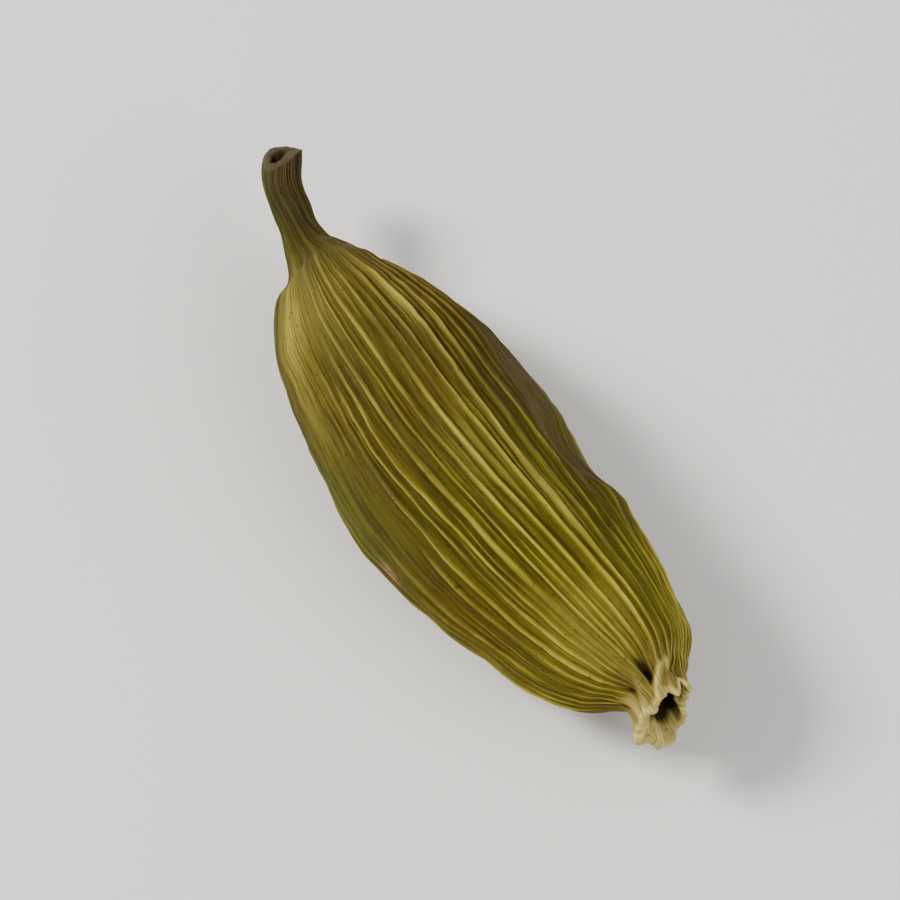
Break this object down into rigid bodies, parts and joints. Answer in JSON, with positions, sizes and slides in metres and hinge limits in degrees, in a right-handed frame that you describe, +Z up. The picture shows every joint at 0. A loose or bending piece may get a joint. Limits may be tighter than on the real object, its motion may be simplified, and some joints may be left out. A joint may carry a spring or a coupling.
{
  "type": "green cardamom pod",
  "caption": "Dried green seed pod lying on its side: three-lobed ribbed husk with a short curved stalk and a torn, hollow flower collar.",
  "frame": {"origin": "on the surface that the pod lies on, under the middle of its bounding box", "axes": "+X along the pod from its stalk to its collar, +Z up from the surface that it lies on"},
  "size_m": [0.0224, 0.0076, 0.0069],
  "materials": {
    "dried_husk": "dry, fibrous olive-green husk with paler straw-coloured rib crests, a brown stalk and a cream, papery collar; matt with a faint waxy sheen"
  },
  "bodies": {
    "root": {"pod": "dried_husk"}
  },
  "joints": []
}
